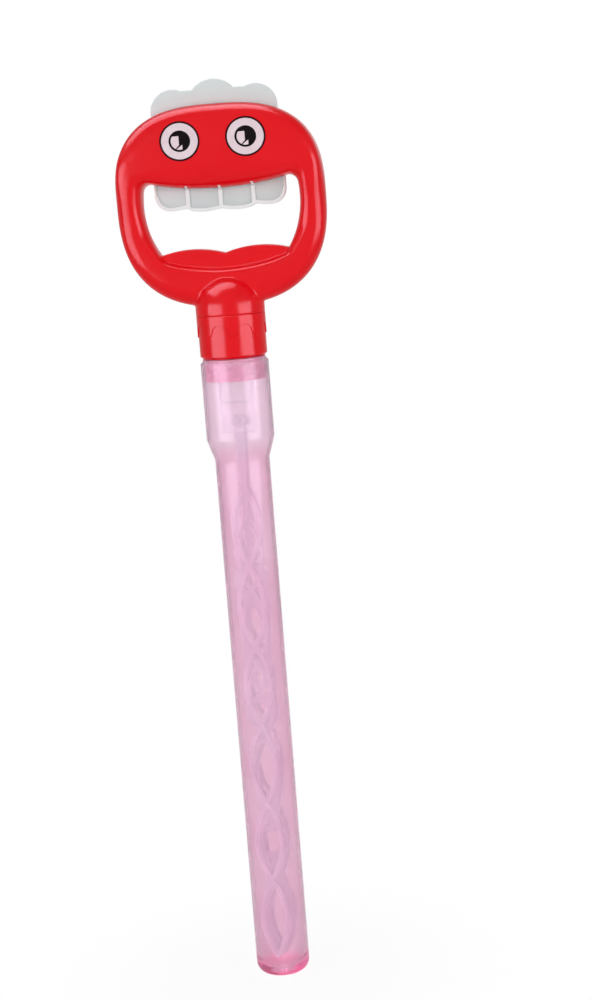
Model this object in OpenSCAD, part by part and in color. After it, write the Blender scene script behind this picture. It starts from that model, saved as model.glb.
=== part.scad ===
// Bubble wand: a ring-shaped face grip on a cap, whose stem and five loop arms hang in a tube of liquid.
// Millimetres, +Z up along the wand, the face towards -Y, origin at the centre of the tube's foot.

/* [Tube] */
// Outer diameter of the tube's body
tube_d = 23.2; // [21:0.1:26]
// Wall of the tube's body, shoulder and neck
tube_wall = 1.3; // [0.8:0.1:1.6]
// Height of the straight body, foot to shoulder
body_h = 229.5; // [200:0.5:260]
// Height of the cone between the body and the neck
shoulder_h = 9; // [6:0.5:14]
// Outer diameter of the neck
neck_d = 28.9; // [28:0.1:32]
// Height of the neck above the shoulder
neck_h = 33.5; // [28:0.5:45]
// Thickness of the tube's floor
floor_t = 3; // [2:0.5:8]
// Rounding of the floor's edge inside the tube
floor_round = 6.5; // [2:0.5:9]
// Rounding of the foot's edge
foot_round = 5; // [1:0.5:6]
// Chamfer on the neck's rim
rim_chamfer = 1.1; // [0.4:0.1:1.4]

/* [Spout] */
// Outer diameter of the spout that goes up into the cap
spout_d = 24; // [23:0.1:24.4]
// Wall of the spout and of its skirt
spout_wall = 1.4; // [1:0.1:1.6]
// Height of the spout above its flange
spout_h = 11.5; // [8:0.5:13]
// Depth of the skirt glued inside the neck
skirt_h = 8.5; // [5:0.5:14]
// Thickness of the flange between the neck and the cap
flange_t = 0.8; // [0.5:0.1:1.5]
// Thickness of the seal between the spout and the cap's roof
seal_t = 1.2; // [0.8:0.1:2]

/* [Cap] */
// Outer diameter of the cap
cap_d = 28.4; // [27.6:0.1:32]
// Height of the cap, its lower edge to the seam under the grip
cap_h = 18.1; // [17:0.1:26]
// Chamfer on the cap's lower edge
cap_chamfer = 1; // [0.4:0.1:1.2]
// Thickness of the collar round the cap's top
collar_t = 0.4; // [0.2:0.05:0.8]
// Height of the collar, its points to the seam
collar_h = 9; // [8:0.5:10]
// Width of the arches between the collar's points
arch_w = 6.8; // [5:0.1:8]
// Height of the arches above the points' ends
arch_h = 5; // [4:0.1:6]
// Width of the arches between the points' ends
arch_foot_w = 10; // [8.5:0.1:10.5]
// Gap between the cap's lower edge and the spout's flange
cap_gap = 0.3; // [0.2:0.05:0.6]
// Width of the tongue that carries the stem
tongue_w = 11; // [9:0.1:11.4]
// Depth of the tongue, front to back
tongue_depth = 8; // [6:0.1:9]
// Length of the tongue inside the stem
tongue_len = 5; // [4:0.5:8]
// Diameter of the spigot that the grip clamps
spigot_d = 16; // [12:0.5:18]
// Height of the spigot inside the grip
spigot_h = 9; // [7:0.5:12]
// Diameter of the flange on the spigot's end
spigot_flange_d = 21; // [19:0.5:22]
// Thickness of the flange on the spigot's end
spigot_flange_t = 3; // [2:0.5:4]

/* [Stem] */
// Width of the clear stem
stem_w = 13.5; // [13:0.1:15]
// Length of the stem
stem_len = 28.5; // [27:0.5:36]
// Distance from the cap's lower edge down to the stem
stem_drop = 3.5; // [1:0.5:6]
// Length of the two prongs that hold the pin
fork_len = 13; // [11:0.5:15]
// Thickness of a prong
prong_t = 1.3; // [1:0.1:1.5]
// Height of the pin above the prongs' ends
pin_up = 5; // [4:0.5:6]
// Diameter of the pin
pin_d = 3.5; // [2.5:0.1:3.8]
// Diameter of the pin's head and of its end cap
pin_head_d = 5; // [4.6:0.1:6]
// Thickness of the pin's head
pin_head_t = 0.8; // [0.5:0.1:1.2]
// Thickness of the pin's end cap
pin_cap_t = 1.4; // [1:0.1:1.8]

/* [Arms] */
// Gap between the arms' tips and the tube's floor
tip_gap = 5; // [3:0.5:20]
// Thickness of an arm
arm_t = 1.5; // [1:0.1:1.7]
// Spacing of the arms along the pin
arm_pitch = 1.9; // [1.8:0.05:2.2]
// Diameter of the eye that turns on the pin
arm_eye_d = 6.4; // [5.6:0.1:7]
// Width of an arm's strip at its eye
strip_w = 4.6; // [3.5:0.1:5.4]
// Width of an arm where two loops meet
waist_w = 3; // [2:0.1:3.6]
// Width of a long loop
loop_w = 12.4; // [10:0.1:13]
// Width of the band round a ribbed loop
band_w = 2; // [1.4:0.1:2.4]
// Width of the band round a loop of the middle arm
middle_band_w = 2.7; // [2:0.1:3]
// Diameter of the middle arm's round loops
ring_d = 15; // [12:0.5:15.5]
// Length of the strip on the two outer arms, from the pin to the first loop
outer_strip = 28; // [22:0.5:40]
// Length of the strip on the two inner arms
inner_strip = 41; // [30:0.5:50]
// Length of the strip on the middle arm
middle_strip = 62; // [45:0.5:75]
// Lean of the outer arms in the tube, in degrees
arm_lean = 0.4; // [0:0.1:0.5]

/* [Grip] */
// Width of the grip
grip_w = 88; // [82:0.2:100]
// Height of the grip's widest line above the seam
grip_up = 46.6; // [45:0.1:56]
// Height of the grip's top above its widest line
grip_top = 40.7; // [38:0.1:50]
// Depth of the grip's lower edge below its widest line
grip_bottom = 43.3; // [42:0.1:46]
// Thickness of the brow, front to back
brow_t = 21; // [18:0.2:26]
// Thickness of the sides and the lower bar
bar_t = 14.4; // [12:0.2:18]
// Wall of the two shells
shell_wall = 2; // [1.4:0.1:2.4]
// Height of the dome's centre above the seam
dome_up = 3; // [2:0.1:5]

/* [Mouth] */
// Depth of the mouth's centre below the grip's widest line
mouth_drop = 6.9; // [5:0.1:9]
// Width of the mouth at its widest line
mouth_w = 66.2; // [58:0.2:70]
// Height of the mouth's widest line above its centre
mouth_wide_up = 8; // [6:0.1:10]
// Radius of the curve along the mouth's sides
mouth_side_r = 41.4; // [38:0.2:50]
// Radius of the mouth's corners
mouth_corner_r = 3.6; // [2.5:0.1:5]
// Height of the upper corners' centres above the mouth's centre
corner_up = 12.6; // [11.5:0.1:13.5]
// Height of the upper lip's middle above the mouth's centre
lip_up = 13; // [11.5:0.1:14]
// Slope of the upper lip where it meets the corners, in degrees
lip_slope = 13.5; // [9:0.5:25]
// Depth of the lower bar's edge below the mouth's centre
mouth_floor = 20; // [18:0.1:21]
// Radius of the curve along the lower bar
mouth_floor_r = 86; // [70:1:110]
// Thickness of the two-lobed lower lip
lobe_t = 7; // [5:0.2:10]
// Radius of each lobe
lobe_r = 45; // [40:0.5:50]
// Distance of each lobe's peak from the middle
lobe_x = 14.2; // [13:0.1:16]
// Depth of each lobe's peak below the mouth's centre
lobe_drop = 11.7; // [11:0.1:15]

/* [Teeth and crest] */
// Thickness of the white plate
plate_t = 2; // [1.4:0.1:2.4]
// Height of the ribs on each face of the plate
rib_t = 0.6; // [0.3:0.1:1]
// Width of the ribs round each tooth
rib_w = 1.2; // [0.8:0.1:1.6]
// Width of one tooth
tooth_w = 13.8; // [12:0.1:14.2]
// Length of the teeth below the upper lip's middle
tooth_len = 9.4; // [7:0.1:11]
// Height of the outer teeth's lower edge above the inner teeth's
tooth_rise = 1.1; // [0:0.1:2]
// Radius of a tooth's lower edge
tooth_r = 26; // [14:0.5:40]
// Radius of the outer teeth's corners
tooth_corner_r = 6.5; // [3:0.5:8]
// Height of the crest's middle bump above the grip's top
crest_h = 10.2; // [8:0.1:14]
// Height of the crest's side bumps above the grip's top
crest_side_h = 7.1; // [5:0.1:9]
// Depth of the crest's dips below its side bumps
crest_dip = 0.9; // [0.4:0.1:2]
// Distance of a side bump from the middle
crest_x = 17.4; // [16:0.1:20]
// Radius of the middle bump
crest_r = 11.4; // [10:0.1:13]
// Radius of a side bump
crest_side_r = 9.2; // [8:0.1:10]

/* [Eyes] */
// Distance of an eye from the middle
eye_x = 13.7; // [11:0.1:16]
// Height of the eyes above the grip's widest line
eye_up = 26.2; // [24:0.1:29]
// Diameter of an eye with its outline
eye_d = 16.8; // [14:0.1:17.4]
// Width of the dark outline
outline_w = 0.65; // [0.3:0.05:1]
// Diameter of a pupil
pupil_d = 9; // [6:0.1:11]
// Thickness of an eye disc
eye_t = 0.5; // [0.3:0.05:0.6]

/* [Hidden] */
$fn = 64;

// Colours
RED = [0.90, 0.10, 0.13];
PINK = [0.93, 0.62, 0.76, 0.6];
WHITE = [0.88, 0.89, 0.88];
EYE_WHITE = [0.93, 0.88, 0.92];
BLACK = [0.05, 0.04, 0.05];
CLEAR = [0.92, 0.93, 0.93, 0.5];
MILKY = [0.90, 0.90, 0.91, 0.8];

// Clearances, and how far cuts and the roots of a piece's own ribs run past a face
glue_gap = 0.05;
thread_gap = 0.3;
press_gap = 0.05;
run_gap = 0.05;
slide_gap = 0.1;
seal_gap = 0.15;
overrun = 1;

// Heights along the wand
neck_z = body_h + shoulder_h;
neck_top = neck_z + neck_h;
flange_top = neck_top + flange_t;
spout_top = flange_top + spout_h;
cap_z = flange_top + cap_gap;
roof_z = spout_top + seal_t;
seam_z = cap_z + cap_h;
stem_top = cap_z - stem_drop;
stem_z = stem_top - stem_len;
pin_z = stem_z + pin_up;
tip_z = floor_t + tip_gap;
arm_len = pin_z - tip_z;
grip_z = seam_z + grip_up;
grip_top_z = grip_z + grip_top;
mouth_z = grip_z - mouth_drop;
lip_z = mouth_z + lip_up;
tooth_z = lip_z - tooth_len;
eye_z = grip_z + eye_up;

// Radii
tube_r = tube_d / 2;
neck_r = neck_d / 2;
cap_r = cap_d / 2;
collar_r = cap_r + collar_t;
bore_r = tube_r - tube_wall;
neck_bore_r = neck_r - tube_wall;
skirt_r = neck_bore_r - glue_gap;
flange_r = neck_r - rim_chamfer;
spout_r = spout_d / 2;
spout_bore_r = spout_r - spout_wall;
cap_bore_r = spout_r + thread_gap;
pin_r = pin_d / 2;
eye_r = eye_d / 2;
pupil_r = pupil_d / 2;

// The arches of the collar, and the turn of the first from the front, in degrees
arch_count = 8;
arch_turn = 29.5;

// The stem's fork and the arms stacked on its pin
arm_count = 5;
fork_gap = arm_count * arm_pitch + slide_gap;
stem_depth = fork_gap + 2 * prong_t;
arm_eye_t = arm_pitch - slide_gap;
loops = 6;
middle_loops = 3;
strips = [outer_strip, inner_strip, middle_strip, inner_strip, outer_strip];
lean_shares = [-1, -0.5, 0, 0.5, 1];

// The grip's rounded section, swept round the mouth
lip_steps = 12;
corner_steps = 8;
side_steps = 6;
lower_corner_steps = 4;
floor_steps = 8;
section_steps = 24;
cavity_steps = 12;
grip_upper_power = 2.8;
grip_lower_power = 2.5;
bar_power = 2.4;
brow_power = 4;
brow_lip_power = 2.8;
brow_start_share = 0.05;
brow_end_share = 0.55;
floor_edge_power = 4.2;
floor_start_share = 0.15;
floor_end_share = 0.5;

// The mouth's right half: centres of its side, floor and corner arcs, about the mouth's centre
side_at = [mouth_w / 2 - mouth_side_r, mouth_wide_up];
floor_at = [0, mouth_floor_r - mouth_floor];
inner_side_r = mouth_side_r - mouth_corner_r;
inner_floor_r = mouth_floor_r - mouth_corner_r;
corner_at = [side_at.x + sqrt(pow(inner_side_r, 2) - pow(corner_up - side_at.y, 2)), corner_up];
low_corner_at = circles_meet(side_at, inner_side_r, floor_at, inner_floor_r);

// Half the depth of the white plate's slot, and half the plate's width at its teeth and in the brow
slot_y = plate_t / 2 + rib_t + slide_gap;
tooth_half_w = 2 * tooth_w;
plate_half_w = min(tooth_half_w, crest_x + crest_side_r);

// Posts that join the shells: the upper two pass through the plate, the lower two stand in the lower bar
upper_post_x_share = 0.8;
upper_post_z_share = 0.37;
lower_post_x_share = 0.53;
lower_post_z_share = -0.74;
post_r = 2.4;
peg_r = 1.3;
peg_len = 4;

function smooth(low, high, v) =
    let (s = min(1, max(0, (v - low) / (high - low)))) s * s * (3 - 2 * s);
function brow_blend(a) = smooth(brow_start_share, brow_end_share, sin(a));
function floor_blend(a) = smooth(floor_start_share, floor_end_share, -sin(a));
function signed_pow(v, p) = sign(v) * pow(abs(v), p);

// Distance from the grip's centre to its outline at angle a, drawn in by inset
function outline_r(a, inset) =
    let (
        half_h = (sin(a) > 0 ? grip_top : grip_bottom) - inset,
        half_w = grip_w / 2 - inset,
        p = sin(a) > 0 ? grip_upper_power : grip_lower_power
    )
    pow(pow(abs(cos(a)) / half_w, p) + pow(abs(sin(a)) / half_h, p), -1 / p);

// Points along an arc from one angle to another, without the last
function arc(centre, r, from, to, steps) = [
    for (i = [0:steps - 1]) let (a = from + (to - from) * i / steps) centre + r * [cos(a), sin(a)]
];

// The lower right point where two circles meet
function circles_meet(p, p_r, q, q_r) =
    let (
        gap = norm(q - p),
        dir = (q - p) / gap,
        along = (gap * gap + p_r * p_r - q_r * q_r) / (2 * gap)
    )
    p + along * dir + sqrt(p_r * p_r - along * along) * [dir.y, -dir.x];

function bearing(from, to) = atan2(to.y - from.y, to.x - from.x);

// The mouth's right half from the lip's middle down to the floor's middle, moved out by grow
function half_mouth(grow) =
    let (
        r = mouth_corner_r + grow,
        lip_end = corner_at + r * [-sin(lip_slope), cos(lip_slope)],
        rise = lip_end.y - lip_up - grow,
        lip_power = tan(lip_slope) * lip_end.x / rise,
        side_from = bearing(side_at, corner_at),
        side_to = bearing(side_at, low_corner_at),
        floor_from = bearing(floor_at, low_corner_at)
    )
    concat(
        [for (i = [0:lip_steps - 1]) let (s = i / lip_steps)
            [lip_end.x * s, lip_up + grow + rise * pow(s, lip_power)]],
        arc(corner_at, r, 90 + lip_slope, side_from, corner_steps),
        arc(side_at, mouth_side_r + grow, side_from, side_to, side_steps),
        arc(low_corner_at, r, side_to, floor_from, lower_corner_steps),
        arc(floor_at, mouth_floor_r + grow, floor_from, -90, floor_steps),
        [[0, -mouth_floor - grow]]
    );

// The whole mouth, clockwise from the lip's middle
function mouth_points(grow) =
    let (half = half_mouth(grow), last = len(half) - 1)
    concat(half, [for (i = [last - 1:-1:1]) [-half[i].x, half[i].y]]);

// One point of the grip's skin: near is the mouth's point beside it, and b goes round the section
function grip_point(near, b, inset) =
    let (
        a = atan2(near.y, near.x),
        far = [0, mouth_drop] + outline_r(a, inset) * [cos(a), sin(a)],
        p = bar_power + ((cos(b) > 0 ? brow_power : brow_lip_power) - bar_power) * brow_blend(a)
            + (cos(b) > 0 ? 0 : floor_edge_power - bar_power) * floor_blend(a),
        depth = bar_t / 2 + (brow_t - bar_t) / 2 * brow_blend(a) - inset,
        at = (near + far) / 2 + (far - near) / 2 * signed_pow(cos(b), 2 / p)
    )
    [at.x, depth * signed_pow(sin(b), 2 / p), mouth_z + at.y];

// The closed ring of the grip, drawn in by inset, with n points round its section
module grip_ring(inset, n) {
    mouth = mouth_points(inset);
    steps = len(mouth);
    points = [for (near = mouth, j = [0:n - 1]) grip_point(near, 360 * (j + 0.5) / n, inset)];
    function at(i, j) = (i % steps) * n + j % n;
    faces = [
        for (i = [0:steps - 1], j = [0:n - 1], half = [0, 1])
            half == 0
                ? [at(i, j), at(i + 1, j + 1), at(i + 1, j)]
                : [at(i, j), at(i, j + 1), at(i + 1, j + 1)]
    ];
    polyhedron(points, faces);
}

// An upright plate of thickness t, centred on the middle plane, from a shape drawn in X and Z
module upright(t) {
    rotate([90, 0, 0]) linear_extrude(t, center = true) children();
}

// A cylinder along +Y from y_start to y_end
module along_y(r, y_start, y_end) {
    translate([0, y_start, 0]) rotate([-90, 0, 0]) cylinder(r = r, h = y_end - y_start);
}

// The places of the four posts, and half the grip's depth at each
function post_places() = [
    for (side = [-1, 1]) each [
        [side * upper_post_x_share * plate_half_w, grip_z + upper_post_z_share * grip_top, brow_t / 2],
        [side * lower_post_x_share * grip_w / 2, grip_z + lower_post_z_share * grip_bottom, bar_t / 2]
    ]
];

// Tube

// The lowest round_r of a profile of radius r, with its edge rounded
module rounded_foot(r, round_r) {
    square([r - round_r, round_r]);
    intersection() {
        translate([r - round_r, round_r]) circle(round_r);
        square([r, round_r]);
    }
}

module tube() {
    color(PINK) rotate_extrude() difference() {
        union() {
            rounded_foot(tube_r, foot_round);
            polygon([
                [0, foot_round], [tube_r, foot_round], [tube_r, body_h], [neck_r, neck_z],
                [neck_r, neck_top - rim_chamfer], [flange_r, neck_top], [0, neck_top]
            ]);
        }
        translate([0, floor_t]) rounded_foot(bore_r, floor_round);
        polygon([
            [0, floor_t + floor_round], [bore_r, floor_t + floor_round], [bore_r, body_h],
            [neck_bore_r, neck_z], [neck_bore_r, neck_top + overrun], [0, neck_top + overrun]
        ]);
    }
}

module spout() {
    skirt_bore_r = skirt_r - spout_wall;
    color(PINK) rotate_extrude() polygon([
        [skirt_bore_r, neck_top - skirt_h], [skirt_r, neck_top - skirt_h], [skirt_r, neck_top],
        [flange_r, neck_top], [flange_r, flange_top], [spout_r, flange_top],
        [spout_r, spout_top], [spout_bore_r, spout_top], [spout_bore_r, neck_top],
        [skirt_bore_r, neck_top - (skirt_bore_r - spout_bore_r)]
    ]);
}

module seal_ring() {
    color(MILKY) translate([0, 0, spout_top]) difference() {
        cylinder(r = spout_r - seal_gap, h = seal_t);
        translate([0, 0, -overrun]) cylinder(r = spout_bore_r + seal_gap, h = seal_t + 2 * overrun);
    }
}

// Cap

// The collar round the cap's top, with arches between the points of its lower edge
module collar() {
    point_z = seam_z - collar_h;
    inner_r = (cap_bore_r + cap_r) / 2;
    arch_r = arch_w / 2;
    spring_z = arch_h - arch_r;
    foot_x = arch_foot_w / 2;
    difference() {
        rotate_extrude() polygon([[inner_r, point_z], [collar_r, point_z], [collar_r, seam_z], [inner_r, seam_z]]);
        for (i = [0:arch_count - 1]) rotate([0, 0, arch_turn + 360 * i / arch_count])
            translate([0, 0, point_z]) rotate([90, 0, 0]) linear_extrude(2 * collar_r) {
                translate([0, spring_z]) circle(arch_r);
                polygon([
                    [-arch_r, spring_z], [arch_r, spring_z], [foot_x, 0],
                    [foot_x, -overrun], [-foot_x, -overrun], [-foot_x, 0]
                ]);
            }
    }
}

module cap() {
    flange_z = seam_z + spigot_h - spigot_flange_t;
    tongue_z = stem_top - tongue_len;
    color(RED) {
        rotate_extrude() polygon([
            [cap_bore_r, cap_z], [cap_r - cap_chamfer, cap_z], [cap_r, cap_z + cap_chamfer],
            [cap_r, seam_z], [spigot_d / 2, seam_z], [spigot_d / 2, flange_z],
            [spigot_flange_d / 2, flange_z], [spigot_flange_d / 2, seam_z + spigot_h],
            [0, seam_z + spigot_h], [0, roof_z], [cap_bore_r, roof_z]
        ]);
        translate([-tongue_w / 2, -tongue_depth / 2, tongue_z])
            cube([tongue_w, tongue_depth, roof_z - tongue_z + overrun]);
        collar();
    }
}

// Grip shells

// Both shells as one: the ring, the two-lobed lower lip and the domed neck, hollow inside
module grip_body() {
    lobe_z = mouth_z - lobe_drop - lobe_r;
    lip_half_w = low_corner_at.x + mouth_corner_r;
    difference() {
        union() {
            grip_ring(0, section_steps);
            intersection() {
                upright(lobe_t) for (side = [-1, 1])
                    translate([side * lobe_x, lobe_z]) circle(lobe_r);
                translate([-lip_half_w, -lobe_t, mouth_z - mouth_floor - shell_wall])
                    cube([2 * lip_half_w, 2 * lobe_t, mouth_floor]);
            }
            translate([0, 0, seam_z]) cylinder(r = collar_r, h = dome_up);
            translate([0, 0, seam_z + dome_up]) sphere(collar_r);
        }
        grip_ring(shell_wall, cavity_steps);
        translate([0, 0, seam_z - collar_r]) cylinder(r = 2 * collar_r, h = collar_r);
        spigot_seat();
        upright(2 * slot_y) plate_slot();
    }
}

module spigot_seat() {
    flange_z = seam_z + spigot_h - spigot_flange_t - slide_gap;
    translate([0, 0, seam_z - overrun])
        cylinder(r = spigot_d / 2 + slide_gap, h = spigot_h);
    translate([0, 0, flange_z])
        cylinder(r = spigot_flange_d / 2 + slide_gap, h = spigot_flange_t + 2 * slide_gap);
}

// The slot where the white plate passes through the lip and the top of the brow
module plate_slot() {
    half_w = tooth_half_w + slide_gap;
    translate([-half_w, lip_z - overrun]) square([2 * half_w, grip_top_z - lip_z + 2 * overrun]);
}

module front_shell() {
    color(RED) {
        difference() {
            intersection() {
                grip_body();
                translate([-grip_w, -grip_w, seam_z]) cube([2 * grip_w, grip_w, 2 * grip_w]);
            }
            at_eyes() along_y(eye_r + slide_gap, -brow_t, eye_t - brow_t / 2);
        }
        for (p = post_places()) translate([p.x, 0, p.y]) difference() {
            along_y(post_r, shell_wall / 2 - p.z, -slot_y - slide_gap);
            along_y(peg_r + press_gap, -slot_y - peg_len - slide_gap, 0);
        }
    }
}

module rear_shell() {
    color(RED) {
        intersection() {
            grip_body();
            translate([-grip_w, 0, seam_z]) cube([2 * grip_w, grip_w, 2 * grip_w]);
        }
        for (p = post_places()) translate([p.x, 0, p.y]) {
            along_y(post_r, -slot_y, p.z - shell_wall / 2);
            along_y(peg_r, -slot_y - peg_len, 0);
        }
    }
}

// Teeth and crest

// The four teeth, drawn in by inset; each also drawn in at its sides
module teeth_outline(inset) {
    top = mouth_z + corner_up + mouth_corner_r;
    for (i = [0:3]) {
        x = (i - 1.5) * tooth_w;
        z = i == 0 || i == 3 ? tooth_z + tooth_rise : tooth_z;
        intersection() {
            translate([x, z + tooth_r]) circle(tooth_r - inset);
            translate([x - tooth_w / 2 + inset, z]) square([tooth_w - 2 * inset, top - z]);
        }
    }
}

// The outline that rounds the lower corners of the outer teeth
module teeth_frame(inset) {
    half_w = tooth_half_w - inset;
    foot = tooth_z - tooth_corner_r;
    round_z = tooth_z + tooth_rise + tooth_corner_r;
    for (side = [-1, 1])
        translate([side * (tooth_half_w - tooth_corner_r), round_z]) circle(tooth_corner_r - inset);
    translate([-half_w, round_z]) square([2 * half_w, grip_top_z - round_z]);
    translate([-(tooth_half_w - tooth_corner_r), foot])
        square([2 * (tooth_half_w - tooth_corner_r), grip_top_z - foot]);
}

module teeth(inset) {
    intersection() {
        teeth_outline(inset);
        teeth_frame(inset);
    }
}

module crest() {
    side_z = grip_top_z + crest_side_h - crest_side_r;
    translate([0, grip_top_z + crest_h - crest_r]) circle(crest_r);
    for (side = [-1, 1]) translate([side * crest_x, side_z]) circle(crest_side_r);
    translate([-crest_x, grip_top_z - shell_wall])
        square([2 * crest_x, crest_side_h - crest_dip + shell_wall]);
}

module tooth_plate() {
    color(WHITE) difference() {
        union() {
            upright(plate_t) {
                teeth(0);
                translate([-plate_half_w, lip_z]) square([2 * plate_half_w, grip_top_z - lip_z]);
                crest();
            }
            upright(plate_t + 2 * rib_t) difference() {
                teeth(0);
                teeth(rib_w);
            }
        }
        for (p = post_places()) translate([p.x, 0, p.y]) along_y(post_r + slide_gap, -brow_t, brow_t);
    }
}

// Eyes

module at_eyes(sides = [-1, 1]) {
    for (side = sides) translate([side * eye_x, 0, eye_z]) children();
}

// A disc of the eyes' thickness in the pocket of the brow
module eye_layer(sides) {
    at_eyes(sides) translate([0, (eye_t - brow_t) / 2, 0]) upright(eye_t) children();
}

// Two light spots on a pupil: a patch at its left and a dot below, in shares of the pupil's radius
patch_share = 0.82;
patch_right_share = -0.08;
patch_low_share = -0.42;
patch_high_share = 0.52;
dot_share = 0.18;
dot_place_shares = [0.02, -0.66];
module glints() {
    intersection() {
        circle(patch_share * pupil_r);
        translate([-pupil_r, patch_low_share * pupil_r])
            square([(1 + patch_right_share) * pupil_r, (patch_high_share - patch_low_share) * pupil_r]);
    }
    translate(dot_place_shares * pupil_r) circle(dot_share * pupil_r);
}

module eye_white(side) {
    color(EYE_WHITE) eye_layer([side]) difference() {
        circle(eye_r - outline_w);
        circle(pupil_r);
    }
}

module pupil(side) {
    color(BLACK) eye_layer([side]) difference() {
        circle(pupil_r);
        glints();
    }
}

module left_eye_white() { eye_white(-1); }

module right_eye_white() { eye_white(1); }

module left_pupil() { pupil(-1); }

module right_pupil() { pupil(1); }

module eye_outlines() {
    color(BLACK) eye_layer([-1, 1]) difference() {
        circle(eye_r);
        circle(eye_r - outline_w);
    }
}

module eye_glints() {
    color(EYE_WHITE) eye_layer([-1, 1]) glints();
}

// Stem and pin

module stem() {
    color(CLEAR) difference() {
        translate([-stem_w / 2, -stem_depth / 2, stem_z]) cube([stem_w, stem_depth, stem_len]);
        translate([-stem_w, -fork_gap / 2, stem_z - overrun])
            cube([2 * stem_w, fork_gap, fork_len + overrun]);
        translate([-tongue_w / 2 - press_gap, -tongue_depth / 2 - press_gap, stem_top - tongue_len])
            cube([tongue_w + 2 * press_gap, tongue_depth + 2 * press_gap, tongue_len + overrun]);
        translate([0, 0, pin_z]) along_y(pin_r + run_gap, -stem_depth, stem_depth);
    }
}

module arm_pin() {
    color(CLEAR) translate([0, 0, pin_z]) {
        along_y(pin_head_d / 2, -stem_depth / 2 - pin_head_t, -stem_depth / 2);
        along_y(pin_r, -stem_depth / 2, stem_depth / 2 + pin_cap_t / 2);
    }
}

module arm_pin_cap() {
    color(CLEAR) translate([0, 0, pin_z]) difference() {
        along_y(pin_head_d / 2, stem_depth / 2, stem_depth / 2 + pin_cap_t);
        along_y(pin_r + press_gap, 0, stem_depth / 2 + pin_cap_t / 2);
    }
}

// Arms

// A long loop with pointed ends, drawn in by inset
module long_loop(length, inset) {
    half_w = loop_w / 2;
    r = (pow(length / 2, 2) + pow(half_w, 2)) / (2 * half_w);
    intersection_for (side = [-1, 1]) translate([side * (r - half_w), 0]) circle(r - inset);
}

// The loops of an arm below a strip, drawn in by inset; neighbours share a waist
module ribbed_loops(strip, inset) {
    pitch = (arm_len - strip) / loops;
    for (i = [0:loops - 1]) translate([0, -strip - pitch * (i + 0.5)]) long_loop(pitch + waist_w, inset);
}

// Round and long loops in turn
module middle_arm_loops(strip, inset) {
    pitch = (arm_len - strip) / middle_loops;
    for (i = [0:middle_loops - 1]) translate([0, -strip - pitch * i]) {
        translate([0, -ring_d / 2]) circle(ring_d / 2 - inset);
        translate([0, -(pitch + ring_d) / 2]) long_loop(pitch - ring_d + waist_w, inset);
    }
}

// Arm i of five, from the left: its eye on the pin, its strip and its chain of loops
module arm(i) {
    strip = strips[i];
    color(MILKY) translate([0, (i - (arm_count - 1) / 2) * arm_pitch, pin_z])
    rotate([0, -lean_shares[i] * arm_lean, 0]) difference() {
        union() {
            along_y(arm_eye_d / 2, -arm_eye_t / 2, arm_eye_t / 2);
            upright(arm_t) difference() {
                union() {
                    polygon([
                        [-strip_w / 2, 0], [strip_w / 2, 0],
                        [waist_w / 2, -strip - waist_w / 2], [-waist_w / 2, -strip - waist_w / 2]
                    ]);
                    chain(i, 0);
                }
                chain(i, i == 2 ? middle_band_w : band_w);
            }
        }
        along_y(pin_r + run_gap, -arm_pitch, arm_pitch);
    }
}

module chain(i, inset) {
    if (i == 2) middle_arm_loops(strips[i], inset);
    else ribbed_loops(strips[i], inset);
}

module arm_1() { arm(0); }

module arm_2() { arm(1); }

module arm_3() { arm(2); }

module arm_4() { arm(3); }

module arm_5() { arm(4); }

tube();
spout();
seal_ring();
cap();
front_shell();
rear_shell();
tooth_plate();
left_eye_white();
right_eye_white();
left_pupil();
right_pupil();
eye_outlines();
eye_glints();
stem();
arm_pin();
arm_pin_cap();
arm_1();
arm_2();
arm_3();
arm_4();
arm_5();
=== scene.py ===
import math

import bmesh
import bpy
import numpy as np
from mathutils import Matrix, Vector
from mathutils.bvhtree import BVHTree


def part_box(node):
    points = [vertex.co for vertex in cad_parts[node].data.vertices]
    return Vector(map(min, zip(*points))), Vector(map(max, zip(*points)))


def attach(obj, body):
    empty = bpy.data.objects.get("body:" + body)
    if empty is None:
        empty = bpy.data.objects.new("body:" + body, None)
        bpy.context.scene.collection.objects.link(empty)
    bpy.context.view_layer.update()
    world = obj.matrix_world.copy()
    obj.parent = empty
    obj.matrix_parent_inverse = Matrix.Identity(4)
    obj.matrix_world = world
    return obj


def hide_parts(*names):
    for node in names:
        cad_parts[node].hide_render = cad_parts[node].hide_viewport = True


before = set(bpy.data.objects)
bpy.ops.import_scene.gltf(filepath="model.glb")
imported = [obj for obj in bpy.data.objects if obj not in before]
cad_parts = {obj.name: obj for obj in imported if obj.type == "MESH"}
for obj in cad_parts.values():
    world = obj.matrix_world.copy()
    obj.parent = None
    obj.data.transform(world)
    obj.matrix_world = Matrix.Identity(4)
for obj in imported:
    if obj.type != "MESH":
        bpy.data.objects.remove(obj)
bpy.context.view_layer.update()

# Shapes are worked out in millimetres, and pieces are made in metres
MM = 0.001


def mm_box(node):
    """The low and high corners of a construction node."""
    low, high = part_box(node)
    return low / MM, high / MM


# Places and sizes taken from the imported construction
tube_high = mm_box("tube")[1]
spout_high = mm_box("spout")[1]
seal_low, seal_high = mm_box("seal_ring")
cap_low, cap_high = mm_box("cap")
shell_low, shell_high = mm_box("front_shell")
plate_low = mm_box("tooth_plate")[0]
eye_low, eye_high = mm_box("right_eye_white")
pupil_low, pupil_high = mm_box("right_pupil")
outline_high = mm_box("eye_outlines")[1]
pin_low, pin_high = mm_box("arm_pin")

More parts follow.
